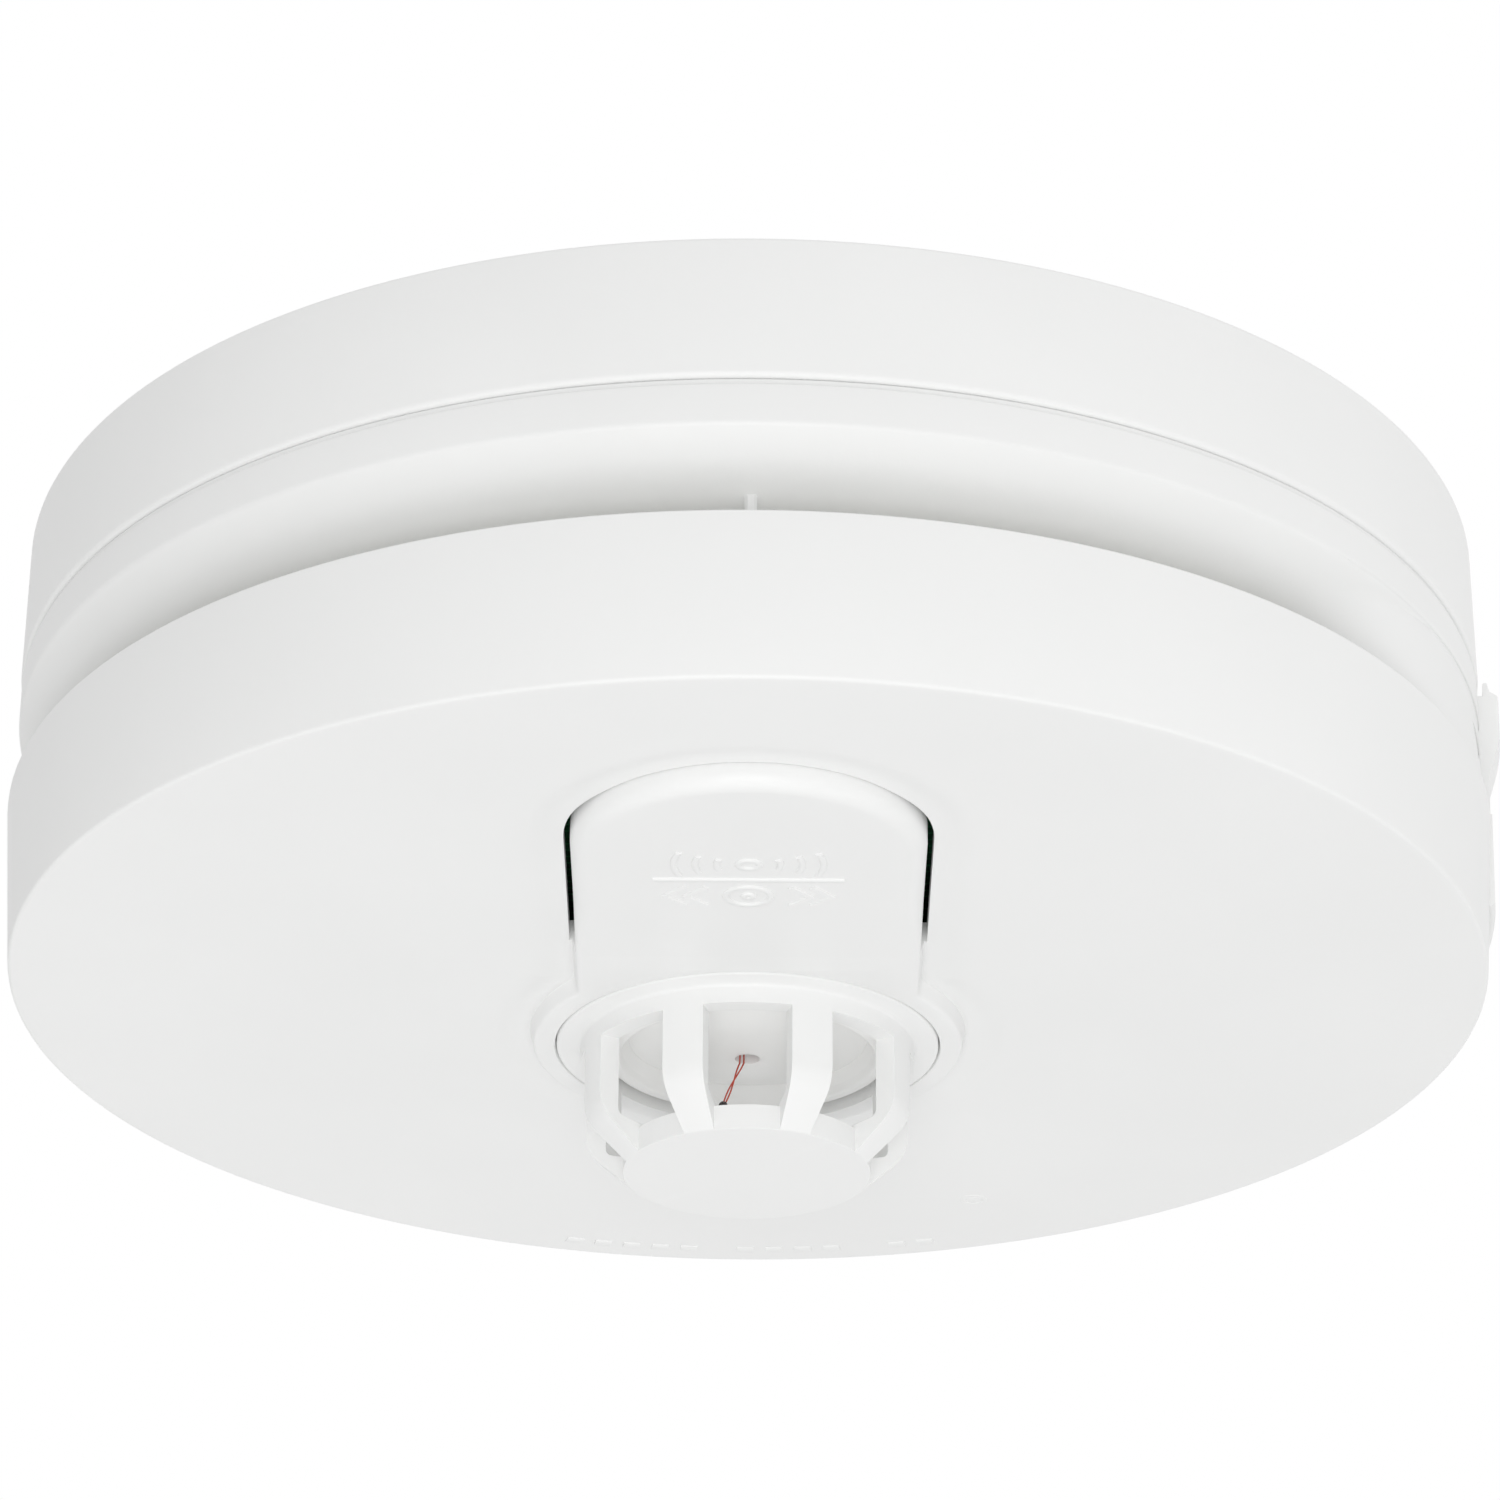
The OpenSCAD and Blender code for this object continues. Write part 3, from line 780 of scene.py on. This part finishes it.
def thermistor():
    """Two fine leads that leave the dome's hole, cross once and end in the bead."""
    bead = middle_of("thermistor_bead")
    start = Vector((0.0, CAGE_Y, PLATFORM_Z + 2.0))
    mouth = Vector((-0.45, CAGE_Y, PLATFORM_Z - 1.25))
    half_pitch = 0.16
    tubes = []
    for side in (-1, 1):
        path = [tuple(start + Vector((side * half_pitch - 0.4, 0, 0)))]
        for k in range(21):
            t = k / 20
            swing = side * (half_pitch * math.cos(math.pi * 1.3 * t) + 0.05 * t)
            path.append(tuple(mouth.lerp(bead, t) + Vector((swing, -0.2 * math.sin(math.pi * t), 0.0))))
        tubes.append(tube(path, LEAD_R))
    pair = mesh_object("thermistor_lead_pair", *joined(tubes), sharp_degrees=60)
    dress(pair, "lead_red")
    rows = []
    for i in range(13):
        a = math.pi * i / 12
        r = BEAD_R * math.sin(a) * (1.0 + 0.12 * math.cos(a))
        z = bead.z + 1.15 * BEAD_R * math.cos(a)
        rows.append([(bead.x + r * math.cos(b), bead.y + r * math.sin(b), z)
                     for b in (2 * math.pi * k / 24 for k in range(24))])
    drop = mesh_object("thermistor_bead_drop", *strips(rows), sharp_degrees=80)
    return pair, dress(drop, "bead_black")


def lamp_lens():
    """The small clouded window of the indicator, in a faint ring moulded into the face."""
    middle = middle_of("light_pipe")
    window = rounded([(0.0, FACE_Z - 0.05, 0), (0.66, FACE_Z - 0.02, 0.12), (0.7, FACE_INNER_Z, 0),
                      (0.0, FACE_INNER_Z, 0)])
    ring = rounded([(0.78, FACE_Z + 0.3, 0), (0.78, FACE_Z - 0.04, 0.04), (1.15, FACE_Z - 0.04, 0.08),
                    (1.25, FACE_Z + 0.3, 0)])
    parts = [lathe(profile, (middle.x, middle.y), segments=48) for profile in (window, ring)]
    return dress(mesh_object("lamp_window", *joined(parts), sharp_degrees=50), "housing_white")


# ---------------------------------------------------------------- upper housing

def cove_z(r):
    """Height of the channel's curved wall at radius r."""
    t = min(1.0, max(0.0, (r - DRUM_R) / (LIP_R - DRUM_R)))
    return CHANNEL_TOP_Z - (CHANNEL_TOP_Z - THROAT_Z) * (1 - t ** 2.1 + math.sqrt(1 - t * t)) / 2


def between(start, end, steps, first=0):
    """Evenly spaced values from start to end, beginning with step number first."""
    return [start + (end - start) * k / steps for k in range(first, steps + 1)]


def upper_housing():
    """The band, the curved channel wall that runs out to a flush wall at the catch, and the drum."""
    cove_r = LIP_R - 0.6
    ledge_r = REBATE_R - 1.2
    band = rounded([
        (REBATE_R, STEP_Z, 0), (STEP_R, STEP_Z, 0.12), (STEP_R - 0.02, HEAD_TOP_Z + 0.02, 0),
        (BAND_R, HEAD_TOP_Z, 0.22), (BAND_R + 0.05, CHANNEL_TOP_Z, 0.7), (cove_r, cove_z(cove_r), 0)],
        closed=False, steps=6)
    channel = band[-4:] + [(r, cove_z(r)) for r in between(cove_r, DRUM_R, 22, first=1)]
    wall = [(BAND_R + 0.05, CHANNEL_TOP_Z + 0.4), (BAND_R + 0.03, CHANNEL_TOP_Z + 0.15),
            (BAND_R - 0.05, CHANNEL_TOP_Z + 0.04), (BAND_R - 0.11, CHANNEL_TOP_Z + 0.02)]
    wall += zip(between(BAND_R - 0.12, BAND_R + 0.08, 12), between(CHANNEL_TOP_Z, CHANNEL_BOTTOM_Z, 12))
    wall += [(r, CHANNEL_BOTTOM_Z) for r in between(BAND_R + 0.08, DRUM_R, 9, first=1)]
    inside = [(DRUM_R, CHANNEL_BOTTOM_Z - 0.6), (DRUM_R - WALL, CHANNEL_BOTTOM_Z - 0.6),
              (DRUM_R - WALL, THROAT_Z + WALL)]
    inside += [(r, cove_z(r) + 2.0) for r in between(DRUM_R, ledge_r, 8)]
    inside += [(ledge_r, HEAD_TOP_Z - 1.2), (REBATE_R, HEAD_TOP_Z - 1.2)]
    rows = []
    for j in range(SEGMENTS + 1):
        angle = 2 * math.pi * j / SEGMENTS
        off = abs(math.degrees(math.atan2(math.sin(angle), math.cos(angle))))
        share = smoothstep(BRIDGE_END, BRIDGE_START, off)
        blended = [(r + (wall_r - r) * share, z + (wall_z - z) * share)
                   for (r, z), (wall_r, wall_z) in zip(channel, wall)]
        rows.append([(r * math.cos(angle), r * math.sin(angle), z) for r, z in band[:-4] + blended + inside])
    obj = mesh_object("upper_housing_moulding", *strips(rows), sharp_degrees=38)
    return dress(carve(obj, [arrow_recess()]), "housing_white")


def arrow_recess():
    """A triangle to be cut into the flush wall, to the near side of the catch."""
    corners = [(-14.3, -17.6), (-8.2, -17.6), (-11.3, -19.7)]
    verts = [(r * math.cos(math.radians(az)), r * math.sin(math.radians(az)), z)
             for r in (BAND_R - 1.8, BAND_R + 2.0) for az, z in corners]
    return verts, [(0, 1, 2), (3, 4, 5), (0, 1, 4, 3), (1, 2, 5, 4), (2, 0, 3, 5)]


def housing_fittings():
    """The spacer ribs across the channel and the block below the catch."""
    parts = [spacer_rib(angle) for angle in RIB_ANGLES] + [catch_block()]
    return dress(mesh_object("housing_fittings", *joined(parts), sharp_degrees=38), "housing_white")


def spacer_rib(angle):
    """A thin rib across the channel that flares where it meets the housing."""
    turn = Matrix.Rotation(math.radians(angle), 3, "Z")
    rows = []
    steps = 12
    for k in range(steps + 1):
        t = k / steps
        half = 0.45 + 1.1 * (1 - smoothstep(0.0, 0.22, t)) ** 2
        outer = 54.0 + 0.3 * t
        top = cove_z(outer) + 0.5
        z = top + (CHANNEL_BOTTOM_Z - top) * t
        rows.append([tuple(turn @ Vector(p)) for p in (
            (50.0, -half, z), (outer - 0.25, -half, z), (outer, -half * 0.5, z),
            (outer, half * 0.5, z), (outer - 0.25, half, z), (50.0, half, z))])
    return capped(rows)


def catch_block():
    """The stepped block under the release catch. Its faces follow the housing's circle."""
    section = rounded([
        (55.8, -12.3, 0), (58.6, -12.3, 0), (58.6, -11.15, 0.2), (58.95, -11.15, 0), (59.15, -11.9, 0.3),
        (BLOCK_R, -12.3, 0.35), (BLOCK_R, -16.0, 0.3), (58.8, -19.3, 0.6), (58.75, CHANNEL_BOTTOM_Z, 0),
        (55.8, CHANNEL_BOTTOM_Z, 0)])
    rows = []
    for k in range(25):
        y = BLOCK_HALF_W * (k / 12 - 1)
        rows.append([(math.sqrt(r * r - y * y), y, z) for r, z in section])
    return capped(rows)


# ---------------------------------------------------------------- mounting base and catch

def mounting_base():
    inner_r = BASE_R - WALL
    profile = rounded([
        (0.0, 0.0, 0), (BASE_R, 0.0, 0.35), (BASE_R + 0.2, BASE_Z, 0.5), (BASE_R - 1.5, BASE_Z, 0.3),
        (inner_r, BASE_FLOOR_Z, 0.5), (0.0, BASE_FLOOR_Z, 0)], steps=5)
    obj = mesh_object("mounting_base_moulding", *lathe(profile))
    catch_window = box_part((50, -8, -12.5), (60, 8, -7.2))
    low, high = BASE_FLOOR_Z - 1.0, 1.0
    cable_section = [(0.0, high), (CABLE_R, high), (CABLE_R, low), (0.0, low)]
    cable_hole = lathe(cable_section, (0.0, CABLE_Y), segments=96)
    cuts = [catch_window, cable_hole]
    for side in (-1, 1):
        ends = []
        for turn, shift in ((-90, FIXING_HALF_L), (90, -FIXING_HALF_L)):
            ends += arc_path((side * FIXING_X + shift, CABLE_Y), FIXING_R, turn, turn + 180, 16)
        cuts.append(prism(ends, low, high))
    carve(obj, cuts)
    bevel(obj, 0.2, degrees=50, segments=2)
    return dress(obj, "housing_white")


def base_fittings():
    """Hooks, stiffening ribs and the catch's root, inside the mounting base."""
    foot_z = BASE_FLOOR_Z + 0.1
    parts = []
    for x in (-HOOK_XY, HOOK_XY):
        for y in (-HOOK_XY, HOOK_XY):
            parts.append(box_part((x - 3, y - 1.5, -15.0), (x + 3, y + 1.5, foot_z)))
            parts.append(box_part((x - 3, y - 3.5, -14.9), (x + 3, y + 3.5, -13.5)))
    parts.append(box_part((34.0, -6.0, -5.2), (37.85, 6.0, foot_z)))
    for k in range(1, 8):
        turn = Matrix.Rotation(math.radians(45 * k), 3, "Z")
        verts, faces = box_part((48, -0.6, -7.0), (BASE_R - WALL + 0.2, 0.6, foot_z))
        parts.append(([tuple(turn @ Vector(v)) for v in verts], faces))
    inner_r, outer_r, low = CABLE_R + 1.6, CABLE_R + 3.0, BASE_FLOOR_Z - 1.2
    collar = [(inner_r, foot_z), (outer_r, foot_z), (outer_r, low), (inner_r, low)]
    parts.append(lathe(collar, (0.0, CABLE_Y), segments=96))
    obj = mesh_object("base_fittings", *joined(parts))
    bevel(obj, 0.2, degrees=50, segments=2)
    return dress(obj, "housing_white")


def release_catch():
    half_w, leaf_z, leg_r, foot_z = 5.5, -4.0, 54.6, -10.8
    leaf = box_part((38.0, -half_w, -5.2), (leg_r, half_w, leaf_z))
    leg = box_part((53.2, -half_w, foot_z), (leg_r, half_w, leaf_z))
    tab_half_w, tab_top_z, tab_inner = 7.5, -8.1, leg_r - 0.2
    rows = []
    for k in range(17):
        y = tab_half_w * (k / 8 - 1)
        outer = math.sqrt((BASE_R + 0.24) ** 2 - y * y)
        rows.append([(tab_inner, y, tab_top_z), (outer - 1.1, y, tab_top_z), (outer - 0.95, y, -8.4),
                     (outer, y, -10.3), (outer - 0.35, y, foot_z), (tab_inner, y, foot_z)])
    obj = mesh_object("release_catch_moulding", *joined([leaf, leg, capped(rows)]))
    bevel(obj, 0.15, degrees=50, segments=2)
    return dress(obj, "housing_white")


# ---------------------------------------------------------------- camera, light, floor

def camera():
    """A long lens from the front and below, slightly rolled."""
    pitch, roll = math.radians(25.36), math.radians(0.358)
    distance, rise, side = 480.3, 19.76, 0.05
    data = bpy.data.cameras.new("camera")
    data.sensor_width = 36.0
    data.lens = 146.33
    data.clip_start, data.clip_end = 0.01, 50
    obj = bpy.data.objects.new("camera", data)
    bpy.context.scene.collection.objects.link(obj)
    forward = Vector((0, math.cos(pitch), math.sin(pitch)))
    up = Vector((0, -math.sin(pitch), math.cos(pitch)))
    right = Vector((1, 0, 0))
    turned_right = right * math.cos(roll) + up * math.sin(roll)
    turned_up = up * math.cos(roll) - right * math.sin(roll)
    place = Vector((side, 0, FACE_Z)) - forward * distance + up * rise
    matrix = Matrix((turned_right, turned_up, -forward)).transposed().to_4x4()
    matrix.translation = place * MM
    obj.matrix_world = matrix
    bpy.context.scene.camera = obj


def area_light(name, place, target, size, power):
    """A round lamp at place that faces target. Both are in metres."""
    data = bpy.data.lights.new(name, "AREA")
    data.shape = "DISK"
    data.size = size
    data.energy = power
    obj = bpy.data.objects.new(name, data)
    bpy.context.scene.collection.objects.link(obj)
    obj.location = place
    obj.rotation_mode = "QUATERNION"
    obj.rotation_quaternion = (Vector(target) - Vector(place)).to_track_quat("-Z", "Y")


def studio():
    """A near-white surround, darker to the left and the front, with soft lamps from the front and below."""
    world = bpy.data.worlds.new("studio")
    bpy.context.scene.world = world
    world.use_nodes = True
    tree = world.node_tree
    background = tree.nodes["Background"]
    coordinate = tree.nodes.new("ShaderNodeTexCoord")
    parts = tree.nodes.new("ShaderNodeSeparateXYZ")
    tree.links.new(coordinate.outputs["Generated"], parts.inputs[0])
    product = tree.nodes.new("ShaderNodeMath")
    product.operation = "MULTIPLY"
    for i, (axis, start, end, dark) in enumerate((("X", -0.9, -0.15, 0.62), ("Y", -1.0, -0.1, 0.70))):
        ramp = tree.nodes.new("ShaderNodeMapRange")
        ramp.interpolation_type = "SMOOTHSTEP"
        ramp.inputs["From Min"].default_value = start
        ramp.inputs["From Max"].default_value = end
        ramp.inputs["To Min"].default_value = dark
        ramp.inputs["To Max"].default_value = 1.0
        tree.links.new(parts.outputs[axis], ramp.inputs["Value"])
        tree.links.new(ramp.outputs["Result"], product.inputs[i])
    tree.links.new(product.outputs["Value"], background.inputs["Strength"])
    background.inputs["Color"].default_value = (1.0, 1.0, 1.0, 1.0)
    alarm_middle = (0, 0, -0.03)
    area_light("from_below", (0.0, -0.36, -0.78), alarm_middle, 0.7, 1.0)
    area_light("from_front", (-0.05, -1.2, -0.62), alarm_middle, 0.6, 4.0)
    scene = bpy.context.scene
    scene.view_settings.view_transform = "Standard"
    scene.view_settings.look = "None"
    scene.cycles.diffuse_bounces = 10


def floor():
    """A plain pale floor, well below the alarm."""
    half, z = 3000, -900
    corners = level([(-half, -half), (half, -half), (half, half), (-half, half)], z)
    obj = mesh_object("studio_floor", corners, [(0, 1, 2, 3)])
    m = Shader("pale_floor")
    m.link(m.ramp(m.noise(6.0), [(0.3, (0.80, 0.80, 0.80)), (0.7, (0.84, 0.84, 0.84))]),
           m.surface.inputs["Base Color"])
    m.surface.inputs["Roughness"].default_value = 0.9
    obj.data.materials.append(m.material)


# ---------------------------------------------------------------- assembly

camera()
studio()
floor()

slots = {row["node"]: row["material_slot"] for row in frame["record"]["subparts"]}
for node_name, node_object in frame["nodes"].items():
    node_object.data.materials.clear()
    node_object.data.materials.append(MATERIALS[slots[node_name]])

base = mounting_base()
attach(base, "base")
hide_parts("mounting_base")
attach(base_fittings(), "base")

catch = release_catch()
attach(catch, "catch")
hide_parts("release_catch")

cover = front_cover()
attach(cover, "head")
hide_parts("front_cover")
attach(rim_dashes(), "head")

housing = upper_housing()
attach(housing, "head")
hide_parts("upper_housing")
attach(housing_fittings(), "head")

cage = sensor_cage()
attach(cage, "head")
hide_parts("sensor_cage")

dome = sensor_dome()
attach(dome, "head")
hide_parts("sensor_dome")

leads, bead = thermistor()
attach(leads, "head")
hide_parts("thermistor_leads")
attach(bead, "head")
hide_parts("thermistor_bead")

lens = lamp_lens()
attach(lens, "head")
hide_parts("light_pipe")

button = test_button()
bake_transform(button)
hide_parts("test_button")
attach(button_icons(), "button")
